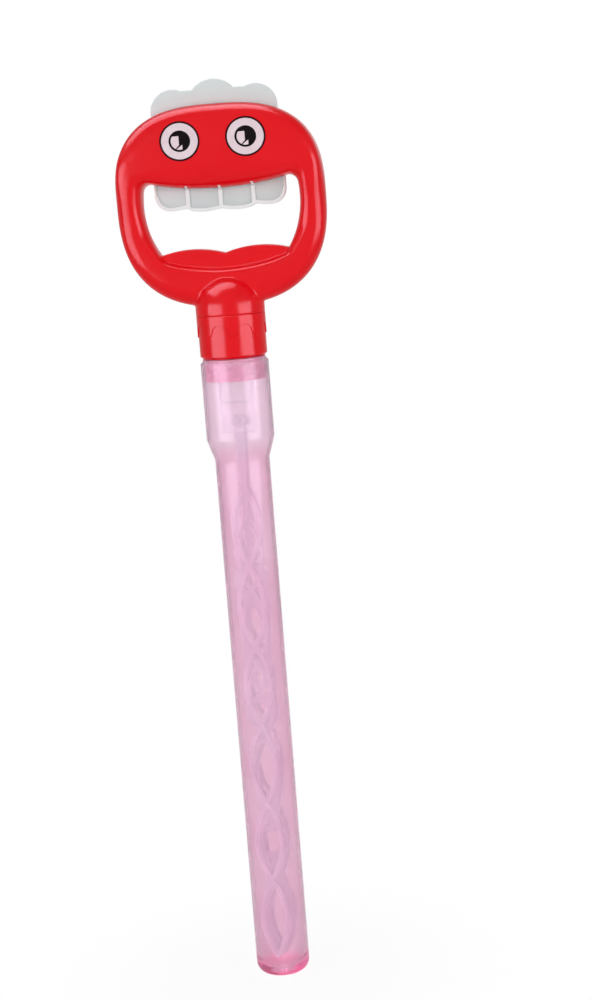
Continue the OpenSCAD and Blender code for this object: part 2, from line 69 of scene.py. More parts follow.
NECK_R = tube_high.x
NECK_TOP = tube_high.z
COLLAR_R = cap_high.x
SEAM_Z = shell_low.z
GRIP_HALF_W = shell_high.x
GRIP_TOP_Z = shell_high.z
PIN_Z = (pin_low.z + pin_high.z) / 2
EYE_X = (eye_low.x + eye_high.x) / 2
EYE_Z = (eye_low.z + eye_high.z) / 2
EYE_R = outline_high.x - EYE_X
PUPIL_R = (pupil_high.x - pupil_low.x) / 2

# Tube, spout, seal and cap, as in the construction
TUBE_R = 11.6
TUBE_WALL = 1.3
BODY_H = 229.5
SHOULDER_H = 9
FLOOR_T = 3
FLOOR_ROUND = 6.5
FOOT_ROUND = 5
RIM_CHAMFER = 1.1
SPOUT_R = 12
SPOUT_WALL = 1.4
SKIRT_H = 8.5
FLANGE_T = 0.8
GLUE_GAP = 0.05
SEAL_GAP = 0.15
CAP_GAP = 0.3
CAP_R = 14.2
CAP_CHAMFER = 1
CAP_BORE_R = 12.3
COLLAR_H = 9
ARCH_COUNT = 8
ARCH_TURN = math.radians(29.5)
ARCH_W = 6.8
ARCH_H = 5
ARCH_FOOT_W = 10
SPIGOT_R = 8
SPIGOT_FLANGE_R = 10.5
SPIGOT_FLANGE_T = 3
TONGUE_W = 11
TONGUE_DEPTH = 8

# Grip, as in the construction
GRIP_UP = 46.6
GRIP_TOP = 40.7
GRIP_BOTTOM = 43.3
GRIP_UPPER_POWER = 2.8
GRIP_LOWER_POWER = 2.5
BAR_T = 14.4
BAR_POWER = 2.4
BROW_T = 21
BROW_POWER = 4
BROW_LIP_POWER = 2.8
FLOOR_EDGE_POWER = 4.2
FLOOR_START_SHARE = 0.15
FLOOR_END_SHARE = 0.5
DOME_UP = 3
MOUTH_DROP = 6.9
MOUTH_W = 66.2
MOUTH_WIDE_UP = 8
MOUTH_SIDE_R = 41.4
MOUTH_CORNER_R = 3.6
CORNER_UP = 12.6
LIP_UP = 13
LIP_SLOPE = math.radians(13.5)
MOUTH_FLOOR = 20
MOUTH_FLOOR_R = 86
LOBE_T = 7
LOBE_R = 45
LOBE_X = 14.2
LOBE_DROP = 11.7
SHELL_WALL = 2
SLOT_GAP = 0.1

# The thickness blends from the bars to the brow more slowly than in the construction, for an even gloss
BROW_START_SHARE = -0.3
BROW_END_SHARE = 0.6
BROW_EDGE_START_SHARE = 0.05
BROW_EDGE_END_SHARE = 0.45

# Teeth and crest, as in the construction
PLATE_T = 2
RIB_T = 0.6
RIB_W = 1.2
TOOTH_W = 13.8
TOOTH_COUNT = 4
TOOTH_RISE = 1.1
TOOTH_R = 26
TOOTH_CORNER_R = 6.5
CREST_H = 10.2
CREST_SIDE_H = 7.1
CREST_DIP = 0.9
CREST_X = 17.4
CREST_R = 11.4
CREST_SIDE_R = 9.2

# Tops of the ribs between the teeth, which lap over the lip's edge
TAB_HALF_W = 0.55
TAB_START = 0.3
TAB_RISE = 1.0
TAB_DROP = 1
TAB_LIFT = 0.2

# Eyes, as in the photo: a little to the left of the construction's, less tall and with a wider outline
EYE_SHIFT = -0.4
EYE_TALL_SHARE = 0.97
OUTLINE_W = 0.8
PUPIL_OVERLAP = 0.2
PRINT_T = 0.3
WHITE_LIFT = 0.03
OUTLINE_LIFT = 0.04
PUPIL_LIFT = 0.05
GLINT_LIFT = 0.07

# Light marks, in shares of the pupil's radius. Each has a middle and straight cuts, and a cut has its way
# in degrees and its distance from the pupil's centre.
GLINT_REACH_SHARE = 0.8
PATCH_MIDDLE_SHARES = (-0.42, 0.02)
PATCH_CUT_SHARES = [(0, -0.06), (90, 0.48), (-46, 0.22)]
WEDGE_MIDDLE_SHARES = (0.05, -0.62)
WEDGE_CUT_SHARES = [(0, 0.24), (125, -0.42)]

# Arms, as in the construction
ARM_T = 1.5
ARM_PITCH = 1.9
ARM_EYE_R = 3.2
PIN_R = 1.75
RUN_GAP = 0.05
STRIP_W = 4.6
WAIST_W = 3
LOOP_W = 12.4
BAND_W = 2
MIDDLE_BAND_W = 2.7
RING_R = 7.5
LOOPS = 6
MIDDLE_LOOPS = 3
TIP_Z = 8
ARM_LEAN = math.radians(0.4)
MIDDLE_ARM = "arm_3"
ARMS = [
    # name, body, strip length, share of the lean
    ("arm_1", "arm_1", 28, -1),
    ("arm_2", "arm_2", 41, -0.5),
    (MIDDLE_ARM, "wand", 62, 0),
    ("arm_4", "arm_4", 41, 0.5),
    ("arm_5", "arm_5", 28, 1),
]

# Fine ridges along the edges of the loops, and the least half widths of a ridged hole, an arm and a hole
RIDGE_PITCH = 0.75
RIDGE_H = 0.22
RIDGED_HALF_W = 0.4
LEAST_HALF_W = 0.05
LEAST_HOLE_HALF_W = 0.1

# Places worked out from the sizes
NECK_Z = BODY_H + SHOULDER_H
GRIP_Z = SEAM_Z + GRIP_UP
MOUTH_Z = GRIP_Z - MOUTH_DROP
LIP_Z = MOUTH_Z + LIP_UP
TOOTH_Z = plate_low.z
TEETH_HALF_W = TOOTH_COUNT * TOOTH_W / 2
CAP_Z = NECK_TOP + FLANGE_T + CAP_GAP
BORE_R = TUBE_R - TUBE_WALL
NECK_BORE_R = NECK_R - TUBE_WALL
SPOUT_BORE_R = SPOUT_R - SPOUT_WALL
ARM_LEN = PIN_Z - TIP_Z

# Hidden overlaps and overruns
PLATE_SHOULDER_UP = 3
PLATE_SHOULDER_Z = LIP_Z + PLATE_SHOULDER_UP
PLATE_SHRINK = 0.05
SLOT_BELOW_LIP = 3
SLOT_OVERRUN = 5
TONGUE_OVERLAP = 1
STRIP_START = 0.7

# Rounded edges
SHOULDER_ROUND = 2
TUBE_EDGE = 0.3
SPOUT_EDGE = 0.25
SEAL_EDGE = 0.3
CAP_EDGE = 0.25
CAP_ROOF_ROUND = 0.5
COLLAR_EDGE = 0.15
TONGUE_EDGE = 0.4
LOBE_EDGE = 0.7
SLOT_EDGE = 0.2
PLATE_EDGE = 0.5
RIB_EDGE = 0.25
TAB_EDGE = 0.12
ARM_EDGE = 0.12
HUB_EDGE = 0.2
STEM_EDGE = 0.3
PIN_EDGE = 0.15

# How finely shapes are drawn
LATHE_TURNS = 144
COLLAR_TURNS = 480
HUB_TURNS = 64
ARC_STEPS = 6
TUBE_ARC_STEPS = 10
HUB_ARC_STEPS = 3
LIP_STEPS = 48
CORNER_STEPS = 20
SIDE_STEPS = 36
LOW_CORNER_STEPS = 14
MOUTH_FLOOR_STEPS = 44
SECTION_STEPS = 72
LOBE_POINTS = 121
DOME_POINTS = 40
PANEL_POINTS = 33
TEETH_POINTS = 230
TEETH_AVERAGED = 11
CREST_POINTS = 260
TAB_POINTS = 4
PRINT_TURNS = 120
PRINT_ROWS = 6
OUTLINE_ROWS = 2
GLINT_ROWS = 3
MIDDLE_ARM_STEP = 0.6
SHELL_VOXEL = 0.4
SHELL_SMOOTHING = {"factor": 0.5, "iterations": 5}
SHARP_ANGLE = math.radians(38)
BEVEL_ANGLE = math.radians(40)
FLAT_ANGLE = math.radians(1)

# Distances below which points are merged: of working shapes in millimetres, of meshes in metres
WORKING_MERGE = 1e-5
CONSTRUCTION_MERGE = 1e-7
PIECE_MERGE = 5e-7


# Shapes: each is a pair of points in millimetres and faces

def joined(*shapes):
    points, faces = [], []
    start = 0
    for shape_points, shape_faces in shapes:
        points.append(np.asarray(shape_points, float))
        faces += [[start + i for i in face] for face in shape_faces]
        start += len(shape_points)
    return np.concatenate(points), faces


def moved(shape, offset):
    points, faces = shape
    return np.asarray(points, float) + np.asarray(offset, float), faces


def turned(shape, matrix):
    points, faces = shape
    return np.asarray(points, float) @ np.array(matrix.to_3x3()).T, faces


def full_turn(count):
    return np.arange(count) * 2 * math.pi / count


def looped_faces(rows, columns):
    """The faces of rows of points that close on themselves both ways."""
    faces = []
    for row in range(rows):
        this, following = row * columns, (row + 1) % rows * columns
        for k in range(columns):
            after = (k + 1) % columns
            faces.append([this + k, this + after, following + after, following + k])
    return faces


def rounded(corners, steps=ARC_STEPS):
    """A closed outline from corners (x, y, radius), each rounded by an arc of its radius."""
    outline = []
    count = len(corners)
    for i, (x, y, radius) in enumerate(corners):
        corner = Vector((x, y))
        to_last = Vector(corners[i - 1][:2]) - corner
        to_next = Vector(corners[(i + 1) % count][:2]) - corner
        if not radius:
            outline.append(tuple(corner))
            continue
        half = to_last.angle(to_next) / 2
        a, b = to_last.normalized(), to_next.normalized()
        centre = corner + (a + b).normalized() * radius / math.sin(half)
        start = corner + a * radius / math.tan(half) - centre
        sweep = start.angle_signed(corner + b * radius / math.tan(half) - centre)
        for k in range(steps + 1):
            outline.append(tuple(centre + Matrix.Rotation(-sweep * k / steps, 2) @ start))
    return outline


def lathe(outline, turns=LATHE_TURNS):
    """A solid of revolution about Z from a closed outline of (radius, height) points.

    A height may be an array, which changes with the angle from the front towards +X.
    """
    angles = full_turn(turns)
    rows = [(r * np.sin(angles), -r * np.cos(angles), np.broadcast_to(z, turns)) for r, z in outline]
    return np.concatenate([np.stack(row, 1) for row in rows]), looped_faces(len(rows), turns)


def mesh_from(name, shape):
    points, faces = shape
    mesh = bpy.data.meshes.new(name)
    mesh.from_pydata([tuple(p) for p in points], [], faces)
    return mesh


def linked(name, data):
    """A new object in the scene."""
    thing = bpy.data.objects.new(name, data)
    bpy.context.scene.collection.objects.link(thing)
    return thing


def shape_of(thing):
    """The shape of an object after its modifiers; the object is then removed."""
    mesh = bpy.data.meshes.new_from_object(thing.evaluated_get(bpy.context.evaluated_depsgraph_get()))
    bpy.data.objects.remove(thing)
    points = np.array([v.co for v in mesh.vertices])
    faces = [list(p.vertices) for p in mesh.polygons]
    bpy.data.meshes.remove(mesh)
    return points, faces


def shape_of_work(work):
    """The shape of a bmesh, which is then freed."""
    work.verts.index_update()
    points = np.array([v.co for v in work.verts])
    faces = [[v.index for v in face.verts] for face in work.faces]
    work.free()
    return points, faces


def clean(mesh, merge):
    """Merges doubled points, drops loose edges and turns the faces outwards."""
    work = bmesh.new()
    work.from_mesh(mesh)
    bmesh.ops.remove_doubles(work, verts=work.verts, dist=merge)
    bmesh.ops.dissolve_degenerate(work, edges=work.edges, dist=merge)
    bmesh.ops.delete(work, geom=[e for e in work.edges if e.is_wire], context="EDGES")
    bmesh.ops.recalc_face_normals(work, faces=work.faces)
    work.to_mesh(mesh)
    work.free()


def evaluated(shape, *modifiers):
    """The shape after Blender's modifiers, each given as a type and a dictionary of settings."""
    mesh = mesh_from("working", shape)
    clean(mesh, WORKING_MERGE)
    holder = linked("working", mesh)
    for kind, settings in modifiers:
        modifier = holder.modifiers.new(kind, kind)
        for name, value in settings.items():
            setattr(modifier, name, value)
    result = shape_of(holder)
    bpy.data.meshes.remove(mesh)
    return result


def upright(outlines, thickness, edge, edge_steps=3, shrink=0):
    """A plate with rounded edges on the middle plane, from closed outlines of (x, z) points, also of holes.

    It can be shrunk a little, so that its sides don't coincide with those of a plate on the same outline.
    """
    curve = bpy.data.curves.new("working", "CURVE")
    curve.dimensions = "2D"
    curve.fill_mode = "BOTH"
    curve.extrude = thickness / 2 - edge
    curve.bevel_depth = edge
    curve.bevel_resolution = edge_steps
    curve.offset = -edge - shrink
    for outline in outlines:
        spline = curve.splines.new("POLY")
        spline.points.add(len(outline) - 1)
        for point, (x, z) in zip(spline.points, outline):
            point.co = (x, z, 0, 1)
        spline.use_cyclic_u = True
    points, faces = shape_of(linked("working", curve))
    bpy.data.curves.remove(curve)
    return points[:, [0, 2, 1]] * [1, -1, 1], faces


def block(low, high, edge):
    """A box with rounded edges."""
    points = [[x, y, z] for x in (low[0], high[0]) for y in (low[1], high[1]) for z in (low[2], high[2])]
    faces = [[0, 1, 3, 2], [4, 6, 7, 5], [0, 4, 5, 1], [2, 3, 7, 6], [0, 2, 6, 4], [1, 5, 7, 3]]
    return evaluated((points, faces), ("BEVEL", {"width": edge, "segments": 3}))


def copied(node, edge):
    """A construction node's own shape with its edges rounded."""
    work = bmesh.new()
    work.from_mesh(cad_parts[node].data)
    bmesh.ops.remove_doubles(work, verts=work.verts, dist=CONSTRUCTION_MERGE)
    bmesh.ops.dissolve_limit(work, angle_limit=FLAT_ANGLE, verts=work.verts, edges=work.edges)
    points, faces = shape_of_work(work)
    bevel = {"width": edge, "segments": 2, "limit_method": "ANGLE", "angle_limit": BEVEL_ANGLE}
    return evaluated((points / MM, faces), ("BEVEL", bevel))


def add_piece(name, shape, material, body, slot, *nodes):
    """A finished piece that rides on a body and stands for construction nodes."""
    points, faces = shape
    mesh = mesh_from(name, (np.asarray(points) * MM, faces))
    clean(mesh, PIECE_MERGE)
    mesh.shade_smooth()
    mesh.set_sharp_from_angle(angle=SHARP_ANGLE)
    mesh.materials.append(material)
    piece = linked(name, mesh)
    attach(piece, body)
    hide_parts(*nodes)


# Nodes of materials and of the world

def coordinates(tree):
    found = tree.nodes.get("Texture Coordinate") or tree.nodes.new("ShaderNodeTexCoord")
    return found.outputs["Object"]


def noise(tree, scale, detail):
    node = tree.nodes.new("ShaderNodeTexNoise")
    node.inputs["Scale"].default_value = scale
    node.inputs["Detail"].default_value = detail
    tree.links.new(coordinates(tree), node.inputs["Vector"])
    return node.outputs["Fac"]


def ranged(tree, value, start, end, low=0, high=1, interpolation="SMOOTHSTEP"):
    """One level where a value is below its start, another where it is past its end, and a blend between."""
    node = tree.nodes.new("ShaderNodeMapRange")
    node.interpolation_type = interpolation
    node.inputs["From Min"].default_value = start
    node.inputs["From Max"].default_value = end
    node.inputs["To Min"].default_value = low
    node.inputs["To Max"].default_value = high
    tree.links.new(value, node.inputs["Value"])
    return node.outputs["Result"]


def calculated(tree, operation, *values):
    node = tree.nodes.new("ShaderNodeMath")
    node.operation = operation
    for socket, value in zip(node.inputs, values):
        tree.links.new(value, socket)
    return node.outputs["Value"]


def vector_node(tree, operation, vector):
    node = tree.nodes.new("ShaderNodeVectorMath")
    node.operation = operation
    tree.links.new(vector, node.inputs[0])
    return node


def mixed(tree, factor, first, second):
    """A colour between two, each a colour or a socket."""
    node = tree.nodes.new("ShaderNodeMix")
    node.data_type = "RGBA"
    tree.links.new(factor, node.inputs["Factor"])
    for socket, colour in (("A", first), ("B", second)):
        target = next(s for s in node.inputs if s.name == socket and s.type == "RGBA")
        if isinstance(colour, bpy.types.NodeSocket):
            tree.links.new(colour, target)
        else:
            target.default_value = (*colour, 1)
    return next(s for s in node.outputs if s.type == "RGBA")


def mixed_shaders(tree, factor, first, second):
    node = tree.nodes.new("ShaderNodeMixShader")
    for socket, value in zip(node.inputs, (factor, first, second)):
        tree.links.new(value, socket)
    return node.outputs["Shader"]


# Materials

# Levels between which the noise mostly stays
NOISE_LOW = 0.3
NOISE_HIGH = 0.7

# How much finer the gloss varies than the shade
GLOSS_FINENESS = 3
BUMP_STRENGTH = 0.5

# How far a face is turned away where its rim starts and ends, from 0 to 1
RIM_START = 0.72
RIM_END = 0.97

# Keeps each share of an absorbing colour above 0
DENSITY_MARGIN = 1.1


def plastic(name, shades, patch_scale, roughness, bump_scale, bump_height, sockets):
    """Moulded plastic: two near shades in soft patches, uneven gloss and a faint ripple."""
    material = bpy.data.materials.new(name)
    material.use_nodes = True
    tree = material.node_tree
    shader = tree.nodes["Principled BSDF"]
    for socket, value in sockets.items():
        shader.inputs[socket].default_value = value
    patches = noise(tree, patch_scale, detail=2)
    shade_share = ranged(tree, patches, NOISE_LOW, NOISE_HIGH, interpolation="LINEAR")
    tree.links.new(mixed(tree, shade_share, *shades), shader.inputs["Base Color"])
    streaks = noise(tree, patch_scale * GLOSS_FINENESS, detail=4)
    gloss = ranged(tree, streaks, NOISE_LOW, NOISE_HIGH, *roughness, interpolation="LINEAR")
    tree.links.new(gloss, shader.inputs["Roughness"])
    bump = tree.nodes.new("ShaderNodeBump")
    bump.inputs["Strength"].default_value = BUMP_STRENGTH
    bump.inputs["Distance"].default_value = bump_height * MM
    tree.links.new(noise(tree, bump_scale, detail=3), bump.inputs["Height"])
    tree.links.new(bump.outputs["Normal"], shader.inputs["Normal"])
    return material


def repainted(material, axis, low, high, before=None, after=None):
    """Passes over from one shade to another between two distances in millimetres along an axis.

    It does so alike on both sides of the middle. None keeps the shade that there is.
    """
    tree = material.node_tree
    base = tree.nodes["Principled BSDF"].inputs["Base Color"]
    kept = base.links[0].from_socket
    split = tree.nodes.new("ShaderNodeSeparateXYZ")
    tree.links.new(coordinates(tree), split.inputs["Vector"])
    distance = calculated(tree, "ABSOLUTE", split.outputs[axis])
    share = ranged(tree, distance, low * MM, high * MM)
    tree.links.new(mixed(tree, share, before or kept, after or kept), base)


def calm_rims(material, rim):
    """Takes back the gloss where a face is seen edge on; the socket keeps its own level for the export."""
    tree = material.node_tree
    gloss = tree.nodes["Principled BSDF"].inputs["Specular IOR Level"]
    facing = tree.nodes.new("ShaderNodeLayerWeight").outputs["Facing"]
    tree.links.new(ranged(tree, facing, RIM_START, RIM_END, gloss.default_value, rim), gloss)


def see_through(material, shadow_tint, deepening):
    """Lets light fall through a clear wall.

    Its colour deepens with the wall's thickness, at a rate per metre for red, green and blue.
    """
    tree = material.node_tree
    output = tree.nodes["Material Output"]
    clear = tree.nodes.new("ShaderNodeBsdfTransparent")
    clear.inputs["Color"].default_value = (*shadow_tint, 1)
    in_shadow = tree.nodes.new("ShaderNodeLightPath").outputs["Is Shadow Ray"]
    wall = tree.nodes["Principled BSDF"].outputs["BSDF"]
    tree.links.new(mixed_shaders(tree, in_shadow, wall, clear.outputs["BSDF"]), output.inputs["Surface"])
    depth = tree.nodes.new("ShaderNodeVolumeAbsorption")
    density = DENSITY_MARGIN * max(deepening)
    depth.inputs["Density"].default_value = density
    depth.inputs["Color"].default_value = (*(1 - d / density for d in deepening), 1)
    tree.links.new(depth.outputs["Volume"], output.inputs["Volume"])


# Distances between which a shade passes over into another
RIB_PAINTED_LIGHT_Y = (PLATE_T / 2 + 0.15, PLATE_T / 2 + 0.5)
TEETH_PAINTED_SHADE_Z = (LIP_Z + 5, LIP_Z + 15)
NECK_SHADE_Z = (BODY_H, NECK_Z)
FOOT_SHADE_Z = (2.8, 4.4)

RED = plastic(
    "red_gloss", ((0.82, 0.0015, 0.007), (0.85, 0.003, 0.010)),
    patch_scale=60, roughness=(0.16, 0.22), bump_scale=120, bump_height=0.05,
    sockets={"Specular IOR Level": 0.18},
)
calm_rims(RED, rim=0.03)

WHITE = plastic(
    "white_satin", ((0.60, 0.65, 0.65), (0.65, 0.70, 0.70)),
    patch_scale=90, roughness=(0.34, 0.46), bump_scale=900, bump_height=0.03,
    sockets={"Specular IOR Level": 0.25},
)
# Painted highlight: the raised ribs are painted lighter than the sunk panels, where light catches them
repainted(WHITE, "Y", *RIB_PAINTED_LIGHT_Y, after=(0.84, 0.87, 0.87))
# Painted shade: the teeth keep a darker shade for lying in the brow's shadow, and the crest above them is
# painted lighter
repainted(WHITE, "Z", *TEETH_PAINTED_SHADE_Z, after=(0.695, 0.76, 0.76))

EYE_WHITE = plastic(
    "eye_white_print", ((0.80, 0.64, 0.69), (0.85, 0.71, 0.76)),
    patch_scale=300, roughness=(0.22, 0.30), bump_scale=1500, bump_height=0.01,
    sockets={"Specular IOR Level": 0.2},
)
EYE_BLACK = plastic(
    "eye_black_print", ((0.006, 0.003, 0.004), (0.010, 0.006, 0.007)),
    patch_scale=300, roughness=(0.18, 0.28), bump_scale=1500, bump_height=0.01,
    sockets={"Specular IOR Level": 0.05},
)
EYE_OUTLINE = plastic(
    "eye_outline_print", ((0.022, 0.0015, 0.003), (0.035, 0.003, 0.006)),
    patch_scale=300, roughness=(0.22, 0.32), bump_scale=1500, bump_height=0.01,
    sockets={"Specular IOR Level": 0.05},
)

PINK = plastic(
    "pink_translucent", ((0.86, 0.69, 0.775), (0.872, 0.765, 0.82)),
    patch_scale=45, roughness=(0.15, 0.21), bump_scale=160, bump_height=0.06,
    sockets={"Transmission Weight": 0.88, "IOR": 1.25, "Specular IOR Level": 0.2},
)
repainted(PINK, "Z", *NECK_SHADE_Z, after=(0.88, 0.82, 0.86))
repainted(PINK, "Z", *FOOT_SHADE_Z, before=(0.985, 0.42, 0.60))
see_through(PINK, shadow_tint=(0.99, 0.95, 0.97), deepening=(4, 58, 30))

SPOUT_PINK = plastic(
    "spout_pink", ((0.86, 0.395, 0.55), (0.895, 0.435, 0.59)),
    patch_scale=70, roughness=(0.24, 0.32), bump_scale=200, bump_height=0.05,
    sockets={"Transmission Weight": 0.25, "IOR": 1.35, "Specular IOR Level": 0.25},
)
see_through(SPOUT_PINK, shadow_tint=(0.90, 0.70, 0.80), deepening=(2, 30, 16))

SEAL = plastic(
    "seal_soft", ((0.66, 0.66, 0.66), (0.72, 0.72, 0.71)),
    patch_scale=120, roughness=(0.5, 0.62), bump_scale=900, bump_height=0.04,
    sockets={"Specular IOR Level": 0.25},
)

CLEAR = plastic(
    "stem_clear", ((0.90, 0.88, 0.90), (0.94, 0.92, 0.93)),
    patch_scale=80, roughness=(0.10, 0.16), bump_scale=200, bump_height=0.04,
    sockets={"Transmission Weight": 0.85, "IOR": 1.4, "Specular IOR Level": 0.25},
)
see_through(CLEAR, shadow_tint=(0.98, 0.98, 0.98), deepening=(6, 4, 5))

MILKY = plastic(
    "arm_milky", ((0.89, 0.87, 0.89), (0.94, 0.92, 0.94)),
    patch_scale=120, roughness=(0.30, 0.42), bump_scale=700, bump_height=0.05,
    sockets={"Transmission Weight": 0.35, "IOR": 1.35, "Specular IOR Level": 0.25},
)
see_through(MILKY, shadow_tint=(0.75, 0.74, 0.75), deepening=(8, 8, 8))

PIN_MILKY = plastic(
    "pin_milky", ((0.90, 0.88, 0.90), (0.94, 0.92, 0.93)),
    patch_scale=80, roughness=(0.20, 0.28), bump_scale=200, bump_height=0.04,
    sockets={"Transmission Weight": 0.3, "IOR": 1.3, "Specular IOR Level": 0.25},
)
see_through(PIN_MILKY, shadow_tint=(0.9, 0.9, 0.9), deepening=(6, 4, 5))


# Tube, spout, seal and cap

def tube_shape():
    return lathe(rounded([
        (0, 0, 0), (TUBE_R, 0, FOOT_ROUND),
        (TUBE_R, BODY_H, SHOULDER_ROUND), (NECK_R, NECK_Z, SHOULDER_ROUND),
        (NECK_R, NECK_TOP - RIM_CHAMFER, TUBE_EDGE), (NECK_R - RIM_CHAMFER, NECK_TOP, TUBE_EDGE),
        (NECK_BORE_R, NECK_TOP, 0),
        (NECK_BORE_R, NECK_Z, SHOULDER_ROUND), (BORE_R, BODY_H, SHOULDER_ROUND),
        (BORE_R, FLOOR_T, FLOOR_ROUND), (0, FLOOR_T, 0),
    ], steps=TUBE_ARC_STEPS))


def spout_shape():
    """The spout in the cap, its flange on the neck's rim and its skirt in the neck."""
    skirt_r = NECK_BORE_R - GLUE_GAP
    skirt_bore_r = skirt_r - SPOUT_WALL
    skirt_z = NECK_TOP - SKIRT_H
    flange_r = NECK_R - RIM_CHAMFER
    flange_top = NECK_TOP + FLANGE_T
    return lathe(rounded([
        (skirt_bore_r, skirt_z, SPOUT_EDGE), (skirt_r, skirt_z, SPOUT_EDGE), (skirt_r, NECK_TOP, 0),
        (flange_r, NECK_TOP, 0), (flange_r, flange_top, SPOUT_EDGE), (SPOUT_R, flange_top, SPOUT_EDGE),
        (SPOUT_R, spout_high.z, SPOUT_EDGE), (SPOUT_BORE_R, spout_high.z, SPOUT_EDGE),
        (SPOUT_BORE_R, NECK_TOP, 0),
        (skirt_bore_r, NECK_TOP - (skirt_bore_r - SPOUT_BORE_R), SPOUT_EDGE),
    ]))


def seal_shape():
    inner_r = SPOUT_BORE_R + SEAL_GAP
    return lathe(rounded([
        (inner_r, seal_low.z, SEAL_EDGE), (seal_high.x, seal_low.z, SEAL_EDGE),
        (seal_high.x, seal_high.z, SEAL_EDGE), (inner_r, seal_high.z, SEAL_EDGE),
    ]))


def collar_shape():
    """The collar round the cap's top, with arches between the points of its lower edge."""
    pitch = 2 * math.pi / ARCH_COUNT
    angles = full_turn(COLLAR_TURNS)
    across = COLLAR_R * np.abs(np.sin((angles - ARCH_TURN + pitch / 2) % pitch - pitch / 2))
    arch_r, foot_x = ARCH_W / 2, ARCH_FOOT_W / 2
    spring = ARCH_H - arch_r
    arch = spring + np.sqrt(np.maximum(arch_r ** 2 - across ** 2, 0))
    slope = spring * np.maximum(foot_x - across, 0) / (foot_x - arch_r)
    low = SEAM_Z - COLLAR_H + np.where(across < arch_r, arch, slope)
    inner_r = (CAP_BORE_R + CAP_R) / 2
    return lathe([
        (inner_r, low), (COLLAR_R - COLLAR_EDGE, low), (COLLAR_R, low + COLLAR_EDGE),
        (COLLAR_R, SEAM_Z - COLLAR_EDGE), (COLLAR_R - COLLAR_EDGE, SEAM_Z), (inner_r, SEAM_Z),
    ], COLLAR_TURNS)


def cap_shape():
    """The cap with its collar, the spigot in the grip and the tongue in the stem."""
    flange_z = cap_high.z - SPIGOT_FLANGE_T
    shoulder_z = SEAM_Z - CAP_EDGE
    turned_part = lathe(rounded([
        (CAP_BORE_R, CAP_Z, CAP_EDGE), (CAP_R - CAP_CHAMFER, CAP_Z, CAP_EDGE),
        (CAP_R, CAP_Z + CAP_CHAMFER, CAP_EDGE), (CAP_R, shoulder_z, 0),
        (SPIGOT_R, shoulder_z, 0), (SPIGOT_R, flange_z, 0), (SPIGOT_FLANGE_R, flange_z, CAP_EDGE),
        (SPIGOT_FLANGE_R, cap_high.z, CAP_EDGE), (0, cap_high.z, 0),
        (0, seal_high.z, 0), (CAP_BORE_R, seal_high.z, CAP_ROOF_ROUND),
    ]))
    half = np.array([TONGUE_W / 2, TONGUE_DEPTH / 2])
    tongue = block((*-half, cap_low.z), (*half, seal_high.z + TONGUE_OVERLAP), TONGUE_EDGE)
    return joined(turned_part, tongue, collar_shape())


# Grip: a rounded section swept round the mouth, a two-lobed lower lip and a domed neck

def arc(centre, radius, start, end, steps):
    angles = start + (end - start) * np.arange(steps) / steps
    return np.array(centre) + radius * np.stack([np.cos(angles), np.sin(angles)], 1)


def bearing(start, end):
    return math.atan2(end[1] - start[1], end[0] - start[0])


def circles_meet(p, p_r, q, q_r):
    """The lower right point where two circles meet."""
    p, q = np.array(p), np.array(q)
    gap = np.linalg.norm(q - p)
    way = (q - p) / gap
    along = (gap ** 2 + p_r ** 2 - q_r ** 2) / (2 * gap)
    return p + along * way + math.sqrt(p_r ** 2 - along ** 2) * np.array([way[1], -way[0]])


# Centres of the mouth's arcs, and the ends of its upper lip, about the mouth's centre
side_at = (MOUTH_W / 2 - MOUTH_SIDE_R, MOUTH_WIDE_UP)
floor_at = (0, MOUTH_FLOOR_R - MOUTH_FLOOR)
inner_side_r = MOUTH_SIDE_R - MOUTH_CORNER_R
corner_at = (side_at[0] + math.sqrt(inner_side_r ** 2 - (CORNER_UP - side_at[1]) ** 2), CORNER_UP)
low_corner_at = circles_meet(side_at, inner_side_r, floor_at, MOUTH_FLOOR_R - MOUTH_CORNER_R)
lip_end_x = corner_at[0] - MOUTH_CORNER_R * math.sin(LIP_SLOPE)
lip_rise = corner_at[1] + MOUTH_CORNER_R * math.cos(LIP_SLOPE) - LIP_UP


def lip_height(x):
    """Height of the upper lip's edge above the mouth's centre."""
    power = math.tan(LIP_SLOPE) * lip_end_x / lip_rise
    return LIP_UP + lip_rise * (np.abs(x) / lip_end_x) ** power


def mouth_outline():
    """The mouth about its centre, clockwise from the lip's middle."""
    xs = lip_end_x * np.arange(LIP_STEPS) / LIP_STEPS
    lip = np.stack([xs, lip_height(xs)], 1)
    side_from, side_to = bearing(side_at, corner_at), bearing(side_at, low_corner_at)
    floor_from = bearing(floor_at, low_corner_at)
    half = np.concatenate([
        lip,
        arc(corner_at, MOUTH_CORNER_R, math.pi / 2 + LIP_SLOPE, side_from, CORNER_STEPS),
        arc(side_at, MOUTH_SIDE_R, side_from, side_to, SIDE_STEPS),
        arc(low_corner_at, MOUTH_CORNER_R, side_to, floor_from, LOW_CORNER_STEPS),
        arc(floor_at, MOUTH_FLOOR_R, floor_from, -math.pi / 2, MOUTH_FLOOR_STEPS),
        [(0, -MOUTH_FLOOR)],
    ])
    return np.concatenate([half, half[-2:0:-1] * [-1, 1]])


def grip_outline_r(angles):
    """Distance from the grip's centre to its outer edge."""
    up = np.sin(angles) > 0
    height = np.where(up, GRIP_TOP, GRIP_BOTTOM)
    power = np.where(up, GRIP_UPPER_POWER, GRIP_LOWER_POWER)
    across, along = np.abs(np.cos(angles)) / GRIP_HALF_W, np.abs(np.sin(angles)) / height
    return (across ** power + along ** power) ** (-1 / power)


def smooth_share(values, start, end):
    share = np.clip((values - start) / (end - start), 0, 1)
    return share * share * (3 - 2 * share)


